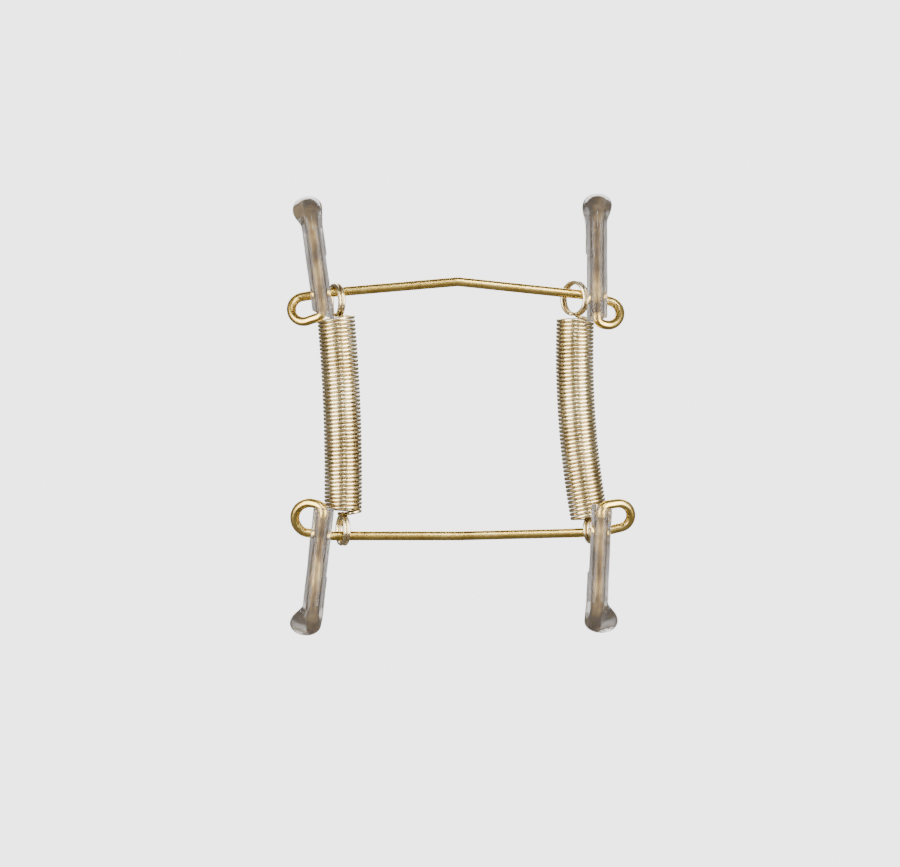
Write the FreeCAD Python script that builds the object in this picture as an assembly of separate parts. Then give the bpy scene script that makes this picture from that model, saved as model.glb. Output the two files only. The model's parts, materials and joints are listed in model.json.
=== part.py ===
"""Sprung wire hanger for a wall plate.

Two bent wires carry four rim hooks, two extension springs draw the wires together, and a clear sleeve
covers each hook arm. The frame is +Z up and +X to the right as seen from the wall side, with the plate on
the +Y side. The origin is the nail's seat, under the peak of the top wire. Lengths are in millimetres and
angles in degrees.
"""

import FreeCAD, Part
import math
import os
from FreeCAD import Vector

# Heavy wire of the two frames, and the height between the middles of its cross runs
WIRE_D = 1.4
WIRE_SPACING = 38.5
MIDDLE_BEND_R = {"top": 3.0, "bottom": 40.0}

# Slope of each half of a cross run, towards the plate's centre as it goes outward
CROSS_SLOPE = {"top_left": 4.9, "top_right": 6.0, "bottom_left": 0.0, "bottom_right": 1.4}

# Drop of the cross run towards the plate's centre, behind the sleeve, on its way into the eye
EYE_DROP = {"top_left": 5.0, "top_right": 10.0, "bottom_left": 8.0, "bottom_right": 12.0}
DROP_RUN = 3.2
DROP_BEND_R = 3.0

# Eye between cross run and arm: where it starts, its round part, the run beside it, the bend into the arm
EYE_X = {"top_left": 23.65, "top_right": 23.17, "bottom_left": 22.72, "bottom_right": 24.72}
EYE_R = {"top_left": 1.9, "top_right": 1.85, "bottom_left": 2.3, "bottom_right": 1.87}
EYE_RUN = {"top_left": 1.57, "top_right": 0.37, "bottom_left": 0.6, "bottom_right": 1.35}
ARM_BEND_R = 1.2
ARM_BEND_TURN = 80.0
EYE_SPANS = 8

# Arm and rim hook, with the lean away from the hanger's middle and the gap between sleeve and cross run
ARM_LEAN = {"top_left": 7.5, "top_right": 0.0, "bottom_left": 6.5, "bottom_right": -2.5}
ARM_LENGTH = {"top_left": 11.33, "top_right": 12.75, "bottom_left": 12.85, "bottom_right": 12.35}
ARM_GAP = 1.2
HOOK_BEND_R = 4.0
HOOK_TURN = 180.0
HOOK_TIP = 2.5

# Clear sleeve on each arm: bore clearance, wall, slanted foot, and how far it reaches past the tip
SLEEVE_FIT = 0.19
SLEEVE_WALL = 0.79
SLEEVE_FOOT = {"top_left": 0.97, "top_right": 0.52, "bottom_left": 0.82, "bottom_right": 0.85}
SLEEVE_SLANT = {"top_left": 30.0, "top_right": 13.0, "bottom_left": 6.0, "bottom_right": 13.0}
SLEEVE_PAST_TIP = 0.6

# Swelling of a sleeve where it bends over: its width, its rise outside the bend, its shift away from the
# hanger's middle, how far up the bend it starts, and the spans that its skin is drawn through
SWELL_WIDTH = {"top_left": 4.6, "top_right": 4.5, "bottom_left": 4.8, "bottom_right": 5.2}
SWELL_RISE = 0.45
SWELL_SHIFT = {"top_left": 0.4, "top_right": 0.1, "bottom_left": 0.85, "bottom_right": 0.75}
SWELL_START = 0.3
SWELL_SPANS = 12

# Extension springs: close coils on a bowed axis
SPRING_WIRE_D = 0.56
SPRING_PITCH = 0.585
COIL_R = 2.6
SPRING_TOP_X = {"left": -18.5, "right": 17.8}
SPRING_BOTTOM_X = {"left": -17.45, "right": 19.85}
SPRING_BOW = {"left": 0.4, "right": -0.8}
SPRING_GAP = 0.15
ODD_HALF_TURN = {"left": 0, "right": 1}

# Looped spring ends: their rise off the coil, the gap over the cross run, the turn from edge-on to the
# viewer and the shift along the run
RING_LOOPS = 2
RING_R = {"top_left": 2.3, "top_right": 2.3, "bottom_left": 2.3, "bottom_right": 1.7}
RING_RISE = {"top_left": 0.5, "top_right": 0.8, "bottom_left": 0.45, "bottom_right": 0.4}
RING_GAP = {"top_left": 0.12, "top_right": 0.6, "bottom_left": 0.25, "bottom_right": 0.25}
RING_FACING = {"top_left": 20.0, "top_right": 46.0, "bottom_left": 20.0, "bottom_right": -30.0}
RING_SHIFT = {"top_left": 0.0, "top_right": 0.1, "bottom_left": 0.0, "bottom_right": 0.45}

SIDES = {"left": -1, "right": 1}
ENDS = {"top": 1, "bottom": -1}
SLEEVE_BORE = WIRE_D + SLEEVE_FIT
SLEEVE_D = SLEEVE_BORE + 2 * SLEEVE_WALL
ARM_OFFSET = (SLEEVE_D + WIRE_D) / 2 + ARM_GAP
Y = Vector(0, 1, 0)
Z = Vector(0, 0, 1)


class Path:
    """Centre line of a bent wire: straight and round stretches, each tangent to the one before it."""

    def __init__(self, start, heading):
        self.start = Vector(start)
        self.first_heading = Vector(heading).normalize()
        self.end = Vector(self.start)
        self.heading = Vector(self.first_heading)
        self.stretches = []

    def line(self, length):
        move = self.heading * length
        self.stretches.append(("line", move))
        self.end = self.end + move

    def turn(self, axis, radius, angle):
        """A round stretch that turns by the angle about the axis."""
        centre = self.end + axis.cross(self.heading) * radius
        rotation = FreeCAD.Rotation(axis, angle)
        self.stretches.append(("arc", centre, Vector(axis), angle))
        self.end = centre + rotation.multVec(self.end - centre)
        self.heading = rotation.multVec(self.heading)

    def arc_to(self, point):
        """The one round stretch that leaves along the heading and ends at the point."""
        chord = point - self.end
        half_turn = self.heading.getAngle(chord)
        axis = self.heading.cross(chord).normalize()
        self.turn(axis, chord.Length / (2 * math.sin(half_turn)), math.degrees(2 * half_turn))

    def biarc_to(self, point, heading):
        """Two round stretches that end at the point, along the given heading."""
        chord = point - self.end
        bend = 1 - self.heading.dot(heading)
        reach = chord.dot(self.heading + heading)
        leg = (math.sqrt(reach ** 2 + 2 * bend * chord.dot(chord)) - reach) / (2 * bend)
        joint = (self.end + self.heading * leg + point - heading * leg) * 0.5
        self.arc_to(joint)
        self.arc_to(point)

    def follow(self, other):
        """Goes on along another centre line, which starts where this one ends."""
        self.stretches += other.stretches
        self.end = Vector(other.end)
        self.heading = Vector(other.heading)

    def backwards(self):
        """The same centre line, run from its far end."""
        back = Path(self.end, self.heading * -1)
        for kind, *stretch in reversed(self.stretches):
            if kind == "line":
                back.line(stretch[0].Length)
            else:
                centre, axis, angle = stretch
                back.turn(axis * -1, (back.end - centre).Length, angle)
        return back


def sweep(path, diameter):
    """A round bar along the centre line, made of cylinder and torus faces, with flat ends."""
    section = Part.makeCircle(diameter / 2, path.start, path.first_heading)
    faces = [Part.Face(Part.Wire([section]))]
    for kind, *stretch in path.stretches:
        if kind == "line":
            faces.append(section.extrude(stretch[0]))
            section.translate(stretch[0])
        else:
            faces.append(section.revolve(*stretch))
            section.rotate(*stretch)
    faces.append(Part.Face(Part.Wire([section])))
    shell = Part.makeShell(faces)
    shell.sewShape()
    solid = Part.makeSolid(shell)
    if solid.Volume < 0:
        solid.reverse()
    return solid


def middle_height(end):
    """Height at which the two halves of a cross run would meet if its middle were sharp."""
    half_bend = math.radians(CROSS_SLOPE[f"{end}_left"] + CROSS_SLOPE[f"{end}_right"]) / 2
    seat = WIRE_D / 2 if end == "top" else WIRE_D / 2 - WIRE_SPACING
    return seat + ENDS[end] * MIDDLE_BEND_R[end] * (1 / math.cos(half_bend) - 1)


def cross_height(end, x):
    """Height of a cross run's centre line at x."""
    side = "left" if x < 0 else "right"
    slope = math.radians(CROSS_SLOPE[f"{end}_{side}"])
    return middle_height(end) - ENDS[end] * abs(x) * math.tan(slope)


def eye_slope(corner):
    """Slope with which the wire enters the eye."""
    return CROSS_SLOPE[corner] + EYE_DROP[corner]


def eye_outline(corner):
    """The eye's flat outline as (radius, length), with no radius on its straight run."""
    round_turn = 270 + ARM_LEAN[corner] - eye_slope(corner) - ARM_BEND_TURN
    return (
        (EYE_R[corner], EYE_R[corner] * math.radians(round_turn)),
        (None, EYE_RUN[corner]),
        (ARM_BEND_R, ARM_BEND_R * math.radians(ARM_BEND_TURN)),
    )


def eye_point(corner, distance):
    """Outward and up place, and angle, on the eye's flat outline at a distance from its start."""
    outward, up, angle = 0.0, 0.0, -math.radians(eye_slope(corner))
    for radius, length in eye_outline(corner):
        run = min(distance, length)
        distance -= run
        if radius is None:
            outward += run * math.cos(angle)
            up += run * math.sin(angle)
        else:
            turned = angle - run / radius
            outward += radius * (math.sin(angle) - math.sin(turned))
            up += radius * (math.cos(turned) - math.cos(angle))
            angle = turned
    return outward, up, angle


def add_eye(path, end, side):
    """Winds the eye, which also brings the wire from the cross run's plane forward to the arm's."""
    corner = f"{end}_{side}"
    start = Vector(path.end)
    length = sum(run for _, run in eye_outline(corner))
    for span in range(1, EYE_SPANS + 1):
        share = span / EYE_SPANS
        outward, up, angle = eye_point(corner, share * length)
        forward = ARM_OFFSET * share ** 2 * (3 - 2 * share)
        drift = ARM_OFFSET * 6 * share * (1 - share) / length
        point = start + Vector(SIDES[side] * outward, -forward, ENDS[end] * up)
        heading = Vector(SIDES[side] * math.cos(angle), -drift, ENDS[end] * math.sin(angle))
        path.biarc_to(point, heading.normalize())


def add_hook(path, tip):
    """Bends the arm over to the plate's side and back along itself."""
    path.turn(path.heading.cross(Y), HOOK_BEND_R, HOOK_TURN)
    path.line(tip)


def half_wire(end, side, tip=HOOK_TIP):
    """Centre line of half a wire, from middle bend to hook tip, and its arm's start and heading."""
    corner = f"{end}_{side}"
    slope = math.radians(CROSS_SLOPE[corner])
    half_bend = math.radians(CROSS_SLOPE[f"{end}_left"] + CROSS_SLOPE[f"{end}_right"]) / 2
    middle = Vector(0, 0, middle_height(end))
    heading = Vector(SIDES[side] * math.cos(slope), 0, -ENDS[end] * math.sin(slope))
    bend_end = MIDDLE_BEND_R[end] * math.tan(half_bend)
    path = Path(middle + heading * bend_end, heading)
    drop_end = DROP_BEND_R * math.tan(math.radians(EYE_DROP[corner]) / 2)
    path.line((EYE_X[corner] - DROP_RUN) / math.cos(slope) - bend_end - drop_end)
    path.turn(Y * SIDES[side] * ENDS[end], DROP_BEND_R, EYE_DROP[corner])
    path.line(DROP_RUN / math.cos(math.radians(eye_slope(corner))) - drop_end)
    add_eye(path, end, side)
    arm_start, arm_heading = Vector(path.end), Vector(path.heading)
    path.line(ARM_LENGTH[corner])
    add_hook(path, tip)
    return path, arm_start, arm_heading


def wire(end):
    """One bent wire, from the left hook's tip over the cross run to the right hook's tip."""
    left = half_wire(end, "left")[0].backwards()
    right = half_wire(end, "right")[0]
    left.arc_to(right.start)
    left.follow(right)
    return sweep(left, WIRE_D)


def swollen_bend(corner, start, heading, outward):
    """Skin of a sleeve's bend, drawn through ovals that widen towards the top of the hook."""
    axis = heading.cross(Y)
    away = axis if axis.dot(outward) > 0 else axis * -1
    ovals = []
    for span in range(SWELL_SPANS + 1):
        rotation = FreeCAD.Rotation(axis, HOOK_TURN * span / SWELL_SPANS)
        share = max((math.sin(math.pi * span / SWELL_SPANS) - SWELL_START) / (1 - SWELL_START), 0.0)
        swell = share ** 2 * (3 - 2 * share)
        wide = SLEEVE_D / 2 + (SWELL_WIDTH[corner] - SLEEVE_D) / 2 * swell
        tall = SLEEVE_D / 2 + SWELL_RISE / 2 * swell
        rise = rotation.multVec(Y * -1)
        middle = start + Y * HOOK_BEND_R + rise * (HOOK_BEND_R + SWELL_RISE / 2 * swell)
        oval = Part.Ellipse(Vector(0, 0, 0), wide, tall).toShape()
        facing = FreeCAD.Rotation(axis, rise, rotation.multVec(heading), "ZXY")
        oval.Placement = FreeCAD.Placement(middle + away * (SWELL_SHIFT[corner] * swell), facing)
        ovals.append(Part.Wire([oval]))
    return Part.makeLoft(ovals, True)


def sleeve(end, side):
    """Clear tube over an arm and its hook, cut at a slant beside the eye, longer towards the spring.
    It swells where it bends over, and its bore follows the wire into the eye."""
    corner = f"{end}_{side}"
    tip = HOOK_TIP + SLEEVE_PAST_TIP
    bore, arm_start, heading = half_wire(end, side, tip)
    inward = Vector(-SIDES[side] * abs(heading.z), 0, SIDES[side] * heading.x * ENDS[end])
    foot = arm_start - heading * SLEEVE_FOOT[corner]
    arm = Path(foot - heading * SLEEVE_D, heading)
    arm.line(SLEEVE_D + SLEEVE_FOOT[corner] + ARM_LENGTH[corner])
    bend = swollen_bend(corner, arm.end, heading, inward * -1)
    hook = Path(arm.end, heading)
    hook.turn(heading.cross(Y), HOOK_BEND_R, HOOK_TURN)
    back = Path(hook.end, hook.heading)
    back.line(tip)
    slant = math.radians(SLEEVE_SLANT[corner])
    below = (heading * math.cos(slant) + inward * math.sin(slant)) * -1
    trim = Part.makeCylinder(3 * SLEEVE_D, 3 * SLEEVE_D, foot, below)
    tube = bend.fuse([sweep(arm, SLEEVE_D), sweep(back, SLEEVE_D)]).removeSplitter()
    return tube.cut(trim).cut(sweep(bore, SLEEVE_BORE)).Solids[0]


def spring_offset(side):
    """How far behind the cross runs a spring's axis lies, so that its coils clear the sleeves' ends."""
    apart = COIL_R + SPRING_WIRE_D / 2 + SLEEVE_D / 2 + SPRING_GAP
    offsets = []
    for end, axis_x in (("top", SPRING_TOP_X[side]), ("bottom", SPRING_BOTTOM_X[side])):
        beside = half_wire(end, side)[1].x - axis_x
        offsets.append(math.sqrt(max(apart ** 2 - beside ** 2, 0.0)) - ARM_OFFSET)
    return max(offsets)


def ring_centre(end, side, axis_x):
    """Middle of a looped spring end, which hangs on the cross run beside the coil's axis."""
    corner = f"{end}_{side}"
    x = axis_x + RING_SHIFT[corner]
    play = RING_R[corner] - SPRING_WIRE_D / 2 - WIRE_D / 2 - RING_GAP[corner]
    return Vector(x, 0, cross_height(end, x) - ENDS[end] * play)


def add_ring(path, end, side, centre):
    """Bends the spring's wire in over the coil's middle, and winds its loops round the cross run."""
    corner = f"{end}_{side}"
    up = Z * ENDS[end]
    heading = FreeCAD.Rotation(Z, RING_FACING[corner]).multVec(path.heading * -1)
    across = heading.cross(up)
    if across.dot(path.end - centre) > 0:
        across = across * -1
    foot = centre - up * RING_R[corner] - across * (SPRING_PITCH * RING_LOOPS / 2)
    path.biarc_to(foot, heading)
    for half in range(1, 2 * RING_LOOPS + 1):
        lift = 2 * RING_R[corner] * (half % 2)
        path.arc_to(foot + up * lift + across * (SPRING_PITCH * half / 2))


def spring(side):
    """Close-wound spring: half turns on a bowed axis, each a half circle, with looped ends."""
    top_ring = ring_centre("top", side, SPRING_TOP_X[side])
    bottom_ring = ring_centre("bottom", side, SPRING_BOTTOM_X[side])
    top_reach = RING_R[f"top_{side}"] + RING_RISE[f"top_{side}"]
    bottom_reach = RING_R[f"bottom_{side}"] + RING_RISE[f"bottom_{side}"]
    back = spring_offset(side)
    first = Vector(SPRING_TOP_X[side], back, top_ring.z - top_reach)
    last = Vector(SPRING_BOTTOM_X[side], back, bottom_ring.z + bottom_reach)
    odd = ODD_HALF_TURN[side]
    half_turns = 2 * math.floor((last - first).Length / SPRING_PITCH - odd / 2) + odd

    def coil_edge(number):
        share = number / half_turns
        bow = 4 * SPRING_BOW[side] * share * (1 - share)
        slope = last - first + Vector(4 * SPRING_BOW[side] * (1 - 2 * share), 0, 0)
        across = slope.cross(Y).normalize() * (-1) ** number
        return first + (last - first) * share + Vector(bow, 0, 0) + across * COIL_R

    top = Path(coil_edge(0), Y)
    add_ring(top, "top", side, top_ring)
    path = top.backwards()
    for number in range(1, half_turns + 1):
        path.arc_to(coil_edge(number))
    add_ring(path, "bottom", side, bottom_ring)
    return sweep(path, SPRING_WIRE_D)


def main():
    parts = {}
    for end in ENDS:
        parts[f"{end}_wire"] = wire(end)
        for side in SIDES:
            parts[f"sleeve_{end}_{side}"] = sleeve(end, side)
    for side in SIDES:
        parts[f"spring_{side}"] = spring(side)
    os.makedirs("parts", exist_ok=True)
    for name, shape in parts.items():
        shape.exportStep(f"parts/{name}.step")
        box = shape.BoundBox
        print(f"{name}: {shape.Volume:.2f} mm3, valid {shape.isValid()}, {box.XMin:.2f} to {box.XMax:.2f},",
              f"{box.YMin:.2f} to {box.YMax:.2f}, {box.ZMin:.2f} to {box.ZMax:.2f}")


main()
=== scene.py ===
"""Looks of a sprung wire plate hanger: brass wire, springs, clear sleeves, light and camera."""
import json
import math

import bmesh
import bpy
from mathutils import Matrix, Vector


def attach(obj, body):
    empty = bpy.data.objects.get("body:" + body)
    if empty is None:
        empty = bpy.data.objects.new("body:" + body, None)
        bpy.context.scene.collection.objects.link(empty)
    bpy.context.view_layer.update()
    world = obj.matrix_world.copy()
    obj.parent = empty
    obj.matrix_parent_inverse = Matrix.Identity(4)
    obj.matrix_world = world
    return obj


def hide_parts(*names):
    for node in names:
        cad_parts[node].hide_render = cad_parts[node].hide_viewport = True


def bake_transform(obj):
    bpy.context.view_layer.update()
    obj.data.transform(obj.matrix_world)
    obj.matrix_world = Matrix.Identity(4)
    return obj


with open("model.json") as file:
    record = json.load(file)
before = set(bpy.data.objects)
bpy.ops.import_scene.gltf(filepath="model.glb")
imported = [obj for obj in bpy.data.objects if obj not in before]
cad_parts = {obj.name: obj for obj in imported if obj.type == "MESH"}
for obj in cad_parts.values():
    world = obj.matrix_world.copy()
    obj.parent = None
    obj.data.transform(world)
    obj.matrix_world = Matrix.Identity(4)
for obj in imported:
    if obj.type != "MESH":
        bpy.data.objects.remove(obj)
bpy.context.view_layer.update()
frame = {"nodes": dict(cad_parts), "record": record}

MM = 0.001

# Width of the image in pixels and its scale, and where the camera looks and how far away it stands
IMAGE_WIDTH = 900
PIXELS_PER_MM = 6.6
VIEW_CENTRE = Vector((-1.21, 0.0, -22.3)) * MM
CAMERA_DISTANCE = 0.8
SENSOR = 36.0
CLIP_START = 0.01

# Springs, in millimetres, as in the solids, but the right one's rings have more room to swing
SPRING_WIRE_D = 0.56
SPRING_PITCH = 0.585
COIL_R = 2.6
RING_LOOPS = 2
SPRINGS = {
    "left": {
        "half_turns": 98, "bow": 0.4,
        "coil": (Vector((-18.5, 0.709, -4.872)), Vector((-17.45, 0.709, -33.983))),
        "rings": (Vector((-18.5, 0, -2.072)), Vector((-17.45, 0, -36.733))),
        "ring_r": (2.3, 2.3), "facing": (20.0, 20.0),
    },
    "right": {
        "half_turns": 101, "bow": -0.8,
        "coil": (Vector((17.8, 0.759, -4.988)), Vector((19.85, 0.759, -34.737))),
        "rings": (Vector((17.7, 0, -1.788)), Vector((20.3, 0, -36.937))),
        "ring_r": (2.4, 1.8), "facing": (40.0, -24.0),
    },
}
COIL_STEPS = 14
RING_STEPS = 28
BEND_STEPS = 8
WIRE_SIDES = 14
STRETCH_FROM = Vector((0.0, 0.0, -4.9)) * MM
STRETCH_TO = Vector((0.0, 0.0, -34.0)) * MM

# Sleeves, in millimetres: the bore closes on the wire, and the rest is as in the solids
SLEEVE_R = 1.585
SLEEVE_BORE_R = 0.66
SLEEVE_TIP = 3.1
HOOK_R = 4.0
LIP = 0.1
LIP_CORNER = 0.3
ARMS = {
    "top_left": {"start": Vector((-20.426, -3.485, -3.509)), "lean": 7.5, "length": 11.33},
    "top_right": {"start": Vector((20.983, -3.485, -4.657)), "lean": 0.0, "length": 12.75},
    "bottom_left": {"start": Vector((-20.32, -3.485, -34.327)), "lean": 6.5, "length": 12.85},
    "bottom_right": {"start": Vector((21.662, -3.485, -34.155)), "lean": -2.5, "length": 12.35},
}
SLEEVE_FOOT = {"top_left": 0.97, "top_right": 0.52, "bottom_left": 0.82, "bottom_right": 0.85}
SLEEVE_SLANT = {"top_left": 30.0, "top_right": 13.0, "bottom_left": 6.0, "bottom_right": 13.0}
SWELL_WIDTH = {"top_left": 4.6, "top_right": 4.5, "bottom_left": 4.8, "bottom_right": 5.2}
SWELL_RISE = 0.45
SWELL_SHIFT = {"top_left": 0.4, "top_right": 0.1, "bottom_left": 0.85, "bottom_right": 0.75}
SWELL_START = 0.3
SLEEVE_SIDES = 36
SLEEVE_STEP = 0.35
SLANT_RUN = 4.0
SLEEVE_THINNING = 0.05
SHORT_WAVE, LONG_WAVE = 0.9, 0.37
WRINKLE = 0.06
WRINKLE_PITCH = 1.5

# Where sleeves cover the wires, in millimetres. An arm is off the cross wires' plane and past its sleeve's
# foot, and a hook is further out; both are measured from the height midway between the hooks
MIDDLE_Z = -19.5
COVERED_DEPTH = (2.5, 2.6)
COVERED_ARM = (14.8, 15.6)
COVERED_HOOK = (26.5, 27.0)

# Colours of the finishes, along a noise from its dark places to its light ones
BRIGHT_TONES = ((0.3, (0.50, 0.33, 0.08)), (0.5, (0.61, 0.43, 0.11)), (0.7, (0.70, 0.52, 0.17)))
# Painted shade: the wire under the sleeves is darkened to a brown for the light the cloudy vinyl holds back
COVERED_SHADE_TONES = ((0.35, (0.06, 0.036, 0.010)), (0.5, (0.16, 0.103, 0.033)), (0.65, (0.36, 0.26, 0.10)))
SPRING_TONES = ((0.3, (0.56, 0.45, 0.24)), (0.5, (0.68, 0.57, 0.34)), (0.7, (0.78, 0.69, 0.46)))
VINYL_TONES = ((0.3, (0.50, 0.47, 0.44)), (0.5, (0.66, 0.63, 0.60)), (0.7, (0.80, 0.77, 0.74)))
FLOOR_TONES = ((0.3, (0.84, 0.84, 0.84)), (0.7, (0.87, 0.87, 0.87)))

# Noises of the finishes: features to the metre, or round the wire for the die lines
WIRE_TARNISH = {"scale": 260.0, "detail": 4.0}
WIRE_MARKS = {"scale": 1300.0, "detail": 2.0}
SPRING_DRIFT = {"scale": 180.0, "detail": 3.0}
DIE_LINES = {"scale": 9.0, "detail": 3.0, "stretch": (60.0, 1.0, 1.0)}
VINYL_HAZE = {"scale": 620.0, "detail": 5.0, "stretch": (1.0, 1.0, 0.4)}
VINYL_GLOSS = {"scale": 900.0, "detail": 3.0, "stretch": (1.0, 1.0, 0.3)}
FLOOR_MOTTLE = {"scale": 30.0, "detail": 3.0}
NOISE_LIMITS = (0.3, 0.7)

# Roughness, from the smoothest places to the roughest, bumps and the clear vinyl's other values
BRIGHT_ROUGHNESS = (0.22, 0.30)
COVERED_ROUGHNESS = (0.40, 0.62)
SPRING_ROUGHNESS = (0.20, 0.30)
VINYL_ROUGHNESS = (0.06, 0.22)
FLOOR_ROUGHNESS = 0.8
WIRE_BUMP = {"strength": 0.05, "depth": 0.02 * MM}
SPRING_BUMP = {"strength": 0.1, "depth": 0.03 * MM}
VINYL_BUMP = {"strength": 0.16, "depth": 0.08 * MM}
VINYL = {"Transmission_Weight": 0.96, "IOR": 1.46, "Specular_Tint": (0.3, 0.3, 0.3, 1.0)}

# Soft boxes, in metres and watts: two in front for the springs' bright stripes, a weak one behind the
# camera, a narrow one above and one high behind the hanger
LIGHTS = {
    "key": {"place": (0.51, -0.475, 0.02), "size": (0.48, 0.8), "power": 20.0, "colour": (1.0, 0.98, 0.95)},
    "fill": {"place": (-0.51, -0.475, 0.02), "size": (0.48, 0.8), "power": 17.5,
             "colour": (1.0, 0.98, 0.96)},
    "front": {"place": (0.0, -1.1, 0.0), "size": (0.5, 0.9), "power": 0.7, "colour": (1.0, 0.99, 0.97)},
    "top": {"place": (0.05, -0.5, 0.36), "size": (0.07, 0.42), "power": 2.0, "colour": (1.0, 1.0, 1.0)},
    "back": {"place": (0.0, 0.66, 0.42), "size": (0.9, 0.35), "power": 8.0, "colour": (1.0, 0.98, 0.96)},
}

# Floor, in metres: a disc that fades out towards its edge
FLOOR_R = 0.42
FLOOR_FADE_R = 0.06
FLOOR_Z = -0.125
FLOOR_SIDES = 96

# Surroundings: the room that the brass reflects, what the sleeves let through, and the pale backdrop
ROOM_COLOUR = (0.24, 0.225, 0.21, 1.0)
THROUGH_COLOUR = (0.45, 0.44, 0.44, 1.0)
BACKDROP_STRENGTH = 4.5

Y = Vector((0, 1, 0))
Z = Vector((0, 0, 1))


class Line:
    """Points along a spring's wire, with the heading at the last one."""

    def __init__(self, start, heading):
        self.points = [start.copy()]
        self.heading = heading.normalized()

    def arc_to(self, target, steps):
        """The one round stretch that leaves along the heading and ends at the target."""
        start = self.points[-1]
        chord = target - start
        half_turn = self.heading.angle(chord)
        axis = self.heading.cross(chord).normalized()
        centre = start + axis.cross(self.heading) * (chord.length / (2 * math.sin(half_turn)))
        for step in range(1, steps + 1):
            turn = Matrix.Rotation(2 * half_turn * step / steps, 3, axis)
            self.points.append(centre + turn @ (start - centre))
        self.heading = turn @ self.heading

    def biarc_to(self, target, heading, steps):
        """Two round stretches that end at the target, along the given heading."""
        chord = target - self.points[-1]
        bend = 1 - self.heading.dot(heading)
        reach = chord.dot(self.heading + heading)
        leg = (math.sqrt(reach ** 2 + 2 * bend * chord.dot(chord)) - reach) / (2 * bend)
        joint = (self.points[-1] + self.heading * leg + target - heading * leg) / 2
        self.arc_to(joint, steps)
        self.arc_to(target, steps)


def add_ring(line, centre, radius, up, facing):
    """Bends the wire in over the coil's middle and winds its loops round the cross wire."""
    heading = Matrix.Rotation(math.radians(facing), 3, "Z") @ -line.heading
    across = heading.cross(up)
    if across.dot(line.points[-1] - centre) > 0:
        across.negate()
    foot = centre - up * radius - across * (SPRING_PITCH * RING_LOOPS / 2)
    line.biarc_to(foot, heading, BEND_STEPS)
    for half in range(1, 2 * RING_LOOPS + 1):
        lift = 2 * radius * (half % 2)
        line.arc_to(foot + up * lift + across * (SPRING_PITCH * half / 2), RING_STEPS)


def spring_points(spring):
    """Points of one spring's wire, from the end of its top ring to the end of its bottom ring."""
    first, last = spring["coil"]
    half_turns = spring["half_turns"]
    top, bottom = zip(spring["rings"], spring["ring_r"], (Z, -Z), spring["facing"])

    def coil_edge(number):
        share = number / half_turns
        bow = 4 * spring["bow"] * share * (1 - share)
        slope = last - first + Vector((4 * spring["bow"] * (1 - 2 * share), 0, 0))
        across = slope.cross(Y).normalized() * (-1) ** number
        return first + (last - first) * share + Vector((bow, 0, 0)) + across * COIL_R

    upper = Line(coil_edge(0), Y)
    add_ring(upper, *top)
    line = Line(coil_edge(0), -Y)
    for number in range(1, half_turns + 1):
        line.arc_to(coil_edge(number), COIL_STEPS)
    add_ring(line, *bottom)
    return upper.points[:0:-1] + line.points


def tube(name, points, diameter):
    """A round wire along the points, in metres, with closed ends and a map of length and angle."""
    verts, lengths = [], [0.0]
    ahead = (points[1] - points[0]).normalized()
    side = ahead.orthogonal().normalized()
    for index, point in enumerate(points):
        before = points[max(index - 1, 0)]
        after = points[min(index + 1, len(points) - 1)]
        turned = (after - before).normalized()
        side = ahead.rotation_difference(turned) @ side
        ahead = turned
        over = ahead.cross(side)
        if index:
            lengths.append(lengths[-1] + (point - before).length)
        for corner in range(WIRE_SIDES):
            angle = 2 * math.pi * corner / WIRE_SIDES
            verts.append((point + (side * math.cos(angle) + over * math.sin(angle)) * (diameter / 2)) * MM)
    faces, places = [], []
    for index in range(len(points) - 1):
        for corner in range(WIRE_SIDES):
            ring, beside = index * WIRE_SIDES, (corner + 1) % WIRE_SIDES
            next_ring = ring + WIRE_SIDES
            faces.append((ring + corner, ring + beside, next_ring + beside, next_ring + corner))
            near, far = lengths[index] * MM, lengths[index + 1] * MM
            low, high = corner / WIRE_SIDES, (corner + 1) / WIRE_SIDES
            places += [(near, low), (near, high), (far, high), (far, low)]
    last_ring = (len(points) - 1) * WIRE_SIDES
    faces.append(tuple(reversed(range(WIRE_SIDES))))
    faces.append(tuple(range(last_ring, last_ring + WIRE_SIDES)))
    places += [(0.0, 0.0)] * (2 * WIRE_SIDES)
    mesh = bpy.data.meshes.new(name)
    mesh.from_pydata(verts, [], faces)
    layer = mesh.uv_layers.new(name="wire")
    for loop, place in zip(layer.data, places):
        loop.uv = place
    mesh.shade_smooth()
    piece = bpy.data.objects.new(name, mesh)
    bpy.context.scene.collection.objects.link(piece)
    return piece


def before_ease(share):
    """The place from 0 to 1 where a smooth ease in and out comes to the share."""
    return 0.5 - math.sin(math.asin(1 - 2 * share) / 3)


def stretch(coil, points):
    """Works out where a spring's wire would sit when stretched with the slide, each section of its wire
    moving as one so the wire stays round, then puts the wire back where it was.

    The blend eases in and out. The sections are placed where that gives even shares, so that all turns open
    alike.
    """
    vertices = coil.data.vertices
    section = [vertex.co.copy() for vertex in vertices]
    span = STRETCH_TO - STRETCH_FROM
    for number, vertex in enumerate(vertices):
        share = (points[number // WIRE_SIDES] * MM - STRETCH_FROM).dot(span) / span.length_squared
        vertex.co = STRETCH_FROM + span * before_ease(min(max(share, 0.0), 1.0))
    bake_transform(coil)
    for vertex, place in zip(vertices, section):
        vertex.co = place


def hook_place(straight, distance):
    """Along and across place, and turn, on a sleeve's centre line at a distance from its foot."""
    bend = math.pi * HOOK_R
    turn = min(max(distance - straight, 0.0) / HOOK_R, math.pi)
    along = min(distance, straight) + HOOK_R * math.sin(turn) - max(distance - straight - bend, 0.0)
    return along, HOOK_R * (1 - math.cos(turn)), turn


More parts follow.
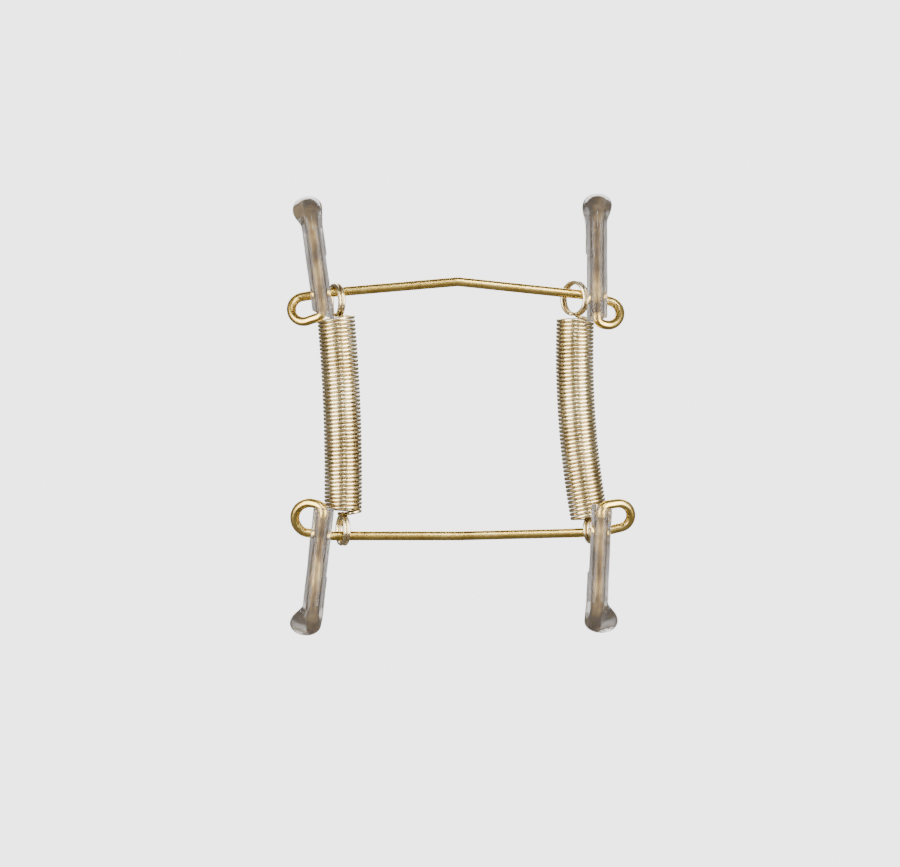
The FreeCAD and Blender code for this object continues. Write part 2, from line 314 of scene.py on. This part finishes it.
def sleeve_rings(length):
    """Radius, distance and skin (1 outside, 0 inside) of each ring round a sleeve's section."""
    soft = LIP * LIP_CORNER
    steps = round((length - 4 * LIP) / SLEEVE_STEP)
    run = [2 * LIP + (length - 4 * LIP) * step / steps for step in range(steps + 1)]
    lip = ((LIP, 0.0), (soft, soft), (0.0, LIP))
    foot = [(SLEEVE_BORE_R + depth, back, 0) for depth, back in reversed(lip)]
    foot += [(SLEEVE_R - depth, back, 1) for depth, back in lip]
    tip = [(SLEEVE_R - depth, length - back, 1) for depth, back in reversed(lip)]
    tip += [(SLEEVE_BORE_R + depth, length - back, 0) for depth, back in lip]
    outside = [(SLEEVE_R, distance, 1) for distance in run]
    inside = [(SLEEVE_BORE_R, distance, 0) for distance in reversed(run)]
    return foot + outside + tip + inside


def swollen(corner, turn):
    """How a sleeve swells at a turn of its bend: width and height against the plain tube, shift and rise."""
    share = max((math.sin(turn) - SWELL_START) / (1 - SWELL_START), 0.0)
    swell = share ** 2 * (3 - 2 * share)
    wide = 1 + (SWELL_WIDTH[corner] / 2 / SLEEVE_R - 1) * swell
    tall = 1 + SWELL_RISE / 2 / SLEEVE_R * swell
    return wide, tall, SWELL_SHIFT[corner] * swell, SWELL_RISE / 2 * swell


def sleeve(corner):
    """Soft tube over an arm: slanted foot, rounded lips, uneven wall, a swollen bend with faint wrinkles."""
    arm = ARMS[corner]
    end, side = (1 if word in ("top", "right") else -1 for word in corner.split("_"))
    lean = math.radians(arm["lean"])
    heading = Vector((side * math.sin(lean), 0, end * math.cos(lean)))
    inward = Vector((-side * math.cos(lean), 0, end * math.sin(lean)))
    start = arm["start"] - heading * SLEEVE_FOOT[corner]
    straight = SLEEVE_FOOT[corner] + arm["length"]
    length = straight + math.pi * HOOK_R + SLEEVE_TIP
    phase = start.x + start.z
    verts = []
    for radius, distance, skin in sleeve_rings(length):
        along, across, turn = hook_place(straight, distance)
        centre = start + heading * along + Y * across
        ahead = heading * math.cos(turn) + Y * math.sin(turn)
        over = Y * math.cos(turn) - heading * math.sin(turn)
        slant = math.tan(math.radians(SLEEVE_SLANT[corner])) * max(1 - distance / SLANT_RUN, 0.0)
        bent = skin * math.sin(turn)
        wide, tall, shift, rise = swollen(corner, turn) if skin else (1, 1, 0, 0)
        centre -= inward * shift + over * rise
        for corner_number in range(SLEEVE_SIDES):
            angle = 2 * math.pi * corner_number / SLEEVE_SIDES
            uneven = math.sin(SHORT_WAVE * distance + phase + angle)
            uneven += math.sin(LONG_WAVE * distance + 2 * angle - phase)
            wrinkle = 1 + math.cos(2 * math.pi * distance / WRINKLE_PITCH)
            thin = skin * SLEEVE_THINNING * (2 + uneven) / 4
            fold = bent * WRINKLE * wrinkle / 2 * max(math.sin(angle), 0.0) ** 2
            reach = radius * (1 - thin) - fold
            flat = inward * (wide * math.cos(angle)) + over * (tall * math.sin(angle))
            slide = ahead * (-slant * reach * math.cos(angle))
            verts.append((centre + flat * reach + slide) * MM)
    rings = len(verts) // SLEEVE_SIDES
    faces = []
    for ring in range(rings):
        here, there = ring * SLEEVE_SIDES, (ring + 1) % rings * SLEEVE_SIDES
        for number in range(SLEEVE_SIDES):
            beside = (number + 1) % SLEEVE_SIDES
            faces.append((here + number, here + beside, there + beside, there + number))
    mesh = bpy.data.meshes.new(f"tube_{corner}")
    mesh.from_pydata(verts, [], faces)
    shape = bmesh.new()
    shape.from_mesh(mesh)
    bmesh.ops.recalc_face_normals(shape, faces=shape.faces)
    shape.to_mesh(mesh)
    shape.free()
    mesh.shade_smooth()
    piece = bpy.data.objects.new(f"tube_{corner}", mesh)
    bpy.context.scene.collection.objects.link(piece)
    return piece


class Shader:
    """Node material built up link by link."""

    def __init__(self, name):
        self.material = bpy.data.materials.new(name)
        self.material.use_nodes = True
        self.nodes = self.material.node_tree.nodes
        self.links = self.material.node_tree.links
        self.surface = self.nodes["Principled BSDF"]

    def add(self, kind, **values):
        """A node with the given inputs, or attributes where no input has the name."""
        node = self.nodes.new(kind)
        for key, value in values.items():
            label = key.replace("_", " ")
            if label in node.inputs:
                node.inputs[label].default_value = value
            else:
                setattr(node, key, value)
        return node

    def link(self, source, target):
        self.links.new(source, target)

    def set(self, **values):
        for key, value in values.items():
            self.surface.inputs[key.replace("_", " ")].default_value = value

    def noise(self, place, scale, detail, stretch=None):
        """Noise at so many features to the metre, stretched where asked."""
        if stretch:
            mapping = self.add("ShaderNodeMapping", Scale=stretch)
            self.link(place, mapping.inputs["Vector"])
            place = mapping.outputs["Vector"]
        node = self.add("ShaderNodeTexNoise", Scale=scale, Detail=detail)
        self.link(place, node.inputs["Vector"])
        return node.outputs["Fac"]

    def ramp(self, factor, stops):
        """Colours along a factor."""
        node = self.nodes.new("ShaderNodeValToRGB")
        ramp = node.color_ramp
        while len(ramp.elements) < len(stops):
            ramp.elements.new(0.5)
        for element, (place, colour) in zip(ramp.elements, stops):
            element.position = place
            element.color = (*colour, 1.0)
        self.link(factor, node.inputs["Fac"])
        return node.outputs["Color"]

    def math(self, operation, *factors):
        node = self.add("ShaderNodeMath", operation=operation)
        for factor, socket in zip(factors, node.inputs):
            self.link(factor, socket)
        return node

    def span(self, factor, low, high, limits=NOISE_LIMITS):
        """A factor between its limits, by default those of a noise, spread over a range of values."""
        start, end = limits
        node = self.add("ShaderNodeMapRange", From_Min=start, From_Max=end, To_Min=low, To_Max=high)
        self.link(factor, node.inputs["Value"])
        return node.outputs["Result"]

    def mix(self, factor, first, second, kind):
        """Colours or numbers mixed by a factor."""
        node = self.add("ShaderNodeMix", data_type=kind)
        sockets = [socket for socket in node.inputs if socket.type == {"FLOAT": "VALUE"}.get(kind, kind)]
        first_socket, second_socket = sockets[-2:]
        self.link(factor, node.inputs["Factor"])
        self.link(first, first_socket)
        self.link(second, second_socket)
        return next(socket for socket in node.outputs if socket.type == first_socket.type)

    def bump(self, height, strength, depth):
        node = self.add("ShaderNodeBump", Strength=strength, Distance=depth)
        self.link(height, node.inputs["Height"])
        self.link(node.outputs["Normal"], self.surface.inputs["Normal"])

    def object_place(self):
        return self.add("ShaderNodeTexCoord").outputs["Object"]

    def wire_place(self):
        return self.add("ShaderNodeUVMap", uv_map="wire").outputs["UV"]


def sleeved(shader, place):
    """1 where a sleeve covers the wire, on the arms and hooks, and 0 on the cross runs and eyes."""
    axes = shader.add("ShaderNodeSeparateXYZ")
    shader.link(place, axes.inputs["Vector"])
    level = shader.math("ADD", axes.outputs["Z"])
    level.inputs[1].default_value = -MIDDLE_Z * MM
    apart = shader.math("ABSOLUTE", level.outputs["Value"]).outputs["Value"]
    deep = shader.math("ABSOLUTE", axes.outputs["Y"]).outputs["Value"]
    off_plane, past_foot, hook = (
        shader.span(distance, 0.0, 1.0, [limit * MM for limit in limits])
        for distance, limits in ((deep, COVERED_DEPTH), (apart, COVERED_ARM), (apart, COVERED_HOOK)))
    arm = shader.math("MULTIPLY", off_plane, past_foot).outputs["Value"]
    return shader.math("MAXIMUM", arm, hook).outputs["Value"]


def heavy_brass():
    """Bright plated wire with faint tarnish and handling marks; under the sleeves it is rougher, and its
    colour is darkened to a brown as painted shade.
    """
    shader = Shader("plated_wire")
    place = shader.object_place()
    covered = sleeved(shader, place)
    tarnish = shader.noise(place, **WIRE_TARNISH)
    # Under the sleeves the colour mixes to the darker brown tones: painted shade
    bright, painted_shade_brown = shader.ramp(tarnish, BRIGHT_TONES), shader.ramp(tarnish, COVERED_SHADE_TONES)
    shader.link(shader.mix(covered, bright, painted_shade_brown, "RGBA"), shader.surface.inputs["Base Color"])
    marks = shader.noise(place, **WIRE_MARKS)
    polished, dull = shader.span(marks, *BRIGHT_ROUGHNESS), shader.span(marks, *COVERED_ROUGHNESS)
    shader.link(shader.mix(covered, polished, dull, "FLOAT"), shader.surface.inputs["Roughness"])
    shader.bump(marks, **WIRE_BUMP)
    shader.set(Metallic=1.0)
    return shader.material


def spring_brass():
    """Paler plated spring wire, with die lines along it and a slow drift of colour."""
    shader = Shader("plated_spring")
    drift = shader.noise(shader.object_place(), **SPRING_DRIFT)
    shader.link(shader.ramp(drift, SPRING_TONES), shader.surface.inputs["Base Color"])
    lines = shader.noise(shader.wire_place(), **DIE_LINES)
    shader.link(shader.span(lines, *SPRING_ROUGHNESS), shader.surface.inputs["Roughness"])
    shader.bump(lines, **SPRING_BUMP)
    shader.set(Metallic=1.0)
    return shader.material


def clear_vinyl():
    """Soft clear tube, a little cloudy, with uneven gloss."""
    shader = Shader("clear_vinyl")
    place = shader.object_place()
    haze = shader.noise(place, **VINYL_HAZE)
    shader.link(shader.ramp(haze, VINYL_TONES), shader.surface.inputs["Base Color"])
    gloss = shader.noise(place, **VINYL_GLOSS)
    shader.link(shader.span(gloss, *VINYL_ROUGHNESS), shader.surface.inputs["Roughness"])
    shader.bump(gloss, **VINYL_BUMP)
    shader.set(**VINYL)
    return shader.material


def dress():
    """Springs between the wires, sleeves on the arms, and the finish of every piece."""
    finishes = {"brass_wire": heavy_brass(), "spring_wire": spring_brass(), "clear_vinyl": clear_vinyl()}
    for side, spring in SPRINGS.items():
        points = spring_points(spring)
        coil = tube(f"coil_{side}", points, SPRING_WIRE_D)
        coil.data.materials.append(finishes["spring_wire"])
        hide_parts(f"spring_{side}")
        stretch(coil, points)
    for corner in ARMS:
        skin = sleeve(corner)
        skin.data.materials.append(finishes["clear_vinyl"])
        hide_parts(f"sleeve_{corner}")
        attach(skin, corner.split("_")[0] + "_frame")
    for subpart in frame["record"]["subparts"]:
        mesh = frame["nodes"][subpart["node"]].data
        mesh.materials.clear()
        mesh.materials.append(finishes[subpart["material_slot"]])


def area_light(name, place, size, power, colour):
    """A soft box that faces the hanger's middle, and isn't seen through the sleeves if it stands behind."""
    data = bpy.data.lights.new(name, "AREA")
    data.shape = "RECTANGLE"
    data.size, data.size_y = size
    data.energy = power
    data.color = colour
    light = bpy.data.objects.new(name, data)
    light.location = place
    light.rotation_euler = (VIEW_CENTRE - light.location).to_track_quat("-Z", "Y").to_euler()
    light.visible_camera = False
    light.visible_transmission = light.location.y < 0
    bpy.context.scene.collection.objects.link(light)


def stage():
    """Pale floor below the hanger, soft lights and pale surroundings."""
    for name, light in LIGHTS.items():
        area_light(name, **light)

    bpy.ops.mesh.primitive_circle_add(
        vertices=FLOOR_SIDES, radius=FLOOR_R, fill_type="NGON", location=(0, 0, FLOOR_Z))
    floor = bpy.context.object
    floor.name = "floor"
    shader = Shader("pale_floor")
    place = shader.object_place()
    mottle = shader.noise(place, **FLOOR_MOTTLE)
    shader.link(shader.ramp(mottle, FLOOR_TONES), shader.surface.inputs["Base Color"])
    from_middle = shader.add("ShaderNodeVectorMath", operation="LENGTH")
    shader.link(place, from_middle.inputs["Vector"])
    fade = shader.span(from_middle.outputs["Value"], 1.0, 0.0, (FLOOR_FADE_R, FLOOR_R))
    shader.link(fade, shader.surface.inputs["Alpha"])
    shader.set(Roughness=FLOOR_ROUGHNESS)
    floor.data.materials.append(shader.material)
    floor.visible_glossy = False

    world = bpy.data.worlds.new("studio")
    bpy.context.scene.world = world
    world.use_nodes = True
    nodes, links = world.node_tree.nodes, world.node_tree.links
    room = nodes["Background"]
    room.inputs["Color"].default_value = ROOM_COLOUR
    backdrop = nodes.new("ShaderNodeBackground")
    backdrop.inputs["Strength"].default_value = BACKDROP_STRENGTH
    through = nodes.new("ShaderNodeBackground")
    through.inputs["Color"].default_value = THROUGH_COLOUR
    path = nodes.new("ShaderNodeLightPath")
    surface = room.outputs["Background"]
    for ray, light in (("Is Transmission Ray", through), ("Is Camera Ray", backdrop)):
        mix = nodes.new("ShaderNodeMixShader")
        links.new(path.outputs[ray], mix.inputs["Fac"])
        links.new(surface, mix.inputs[1])
        links.new(light.outputs["Background"], mix.inputs[2])
        surface = mix.outputs["Shader"]
    links.new(surface, nodes["World Output"].inputs["Surface"])


def camera():
    """Straight-on view from the wall side, framed as the image."""
    data = bpy.data.cameras.new("camera")
    data.sensor_width = SENSOR
    data.lens = SENSOR * CAMERA_DISTANCE / (IMAGE_WIDTH / PIXELS_PER_MM * MM)
    data.clip_start = CLIP_START
    eye = bpy.data.objects.new("camera", data)
    eye.location = VIEW_CENTRE - Y * CAMERA_DISTANCE
    eye.rotation_euler = (math.pi / 2, 0, 0)
    bpy.context.scene.collection.objects.link(eye)
    bpy.context.scene.camera = eye


dress()
stage()
camera()
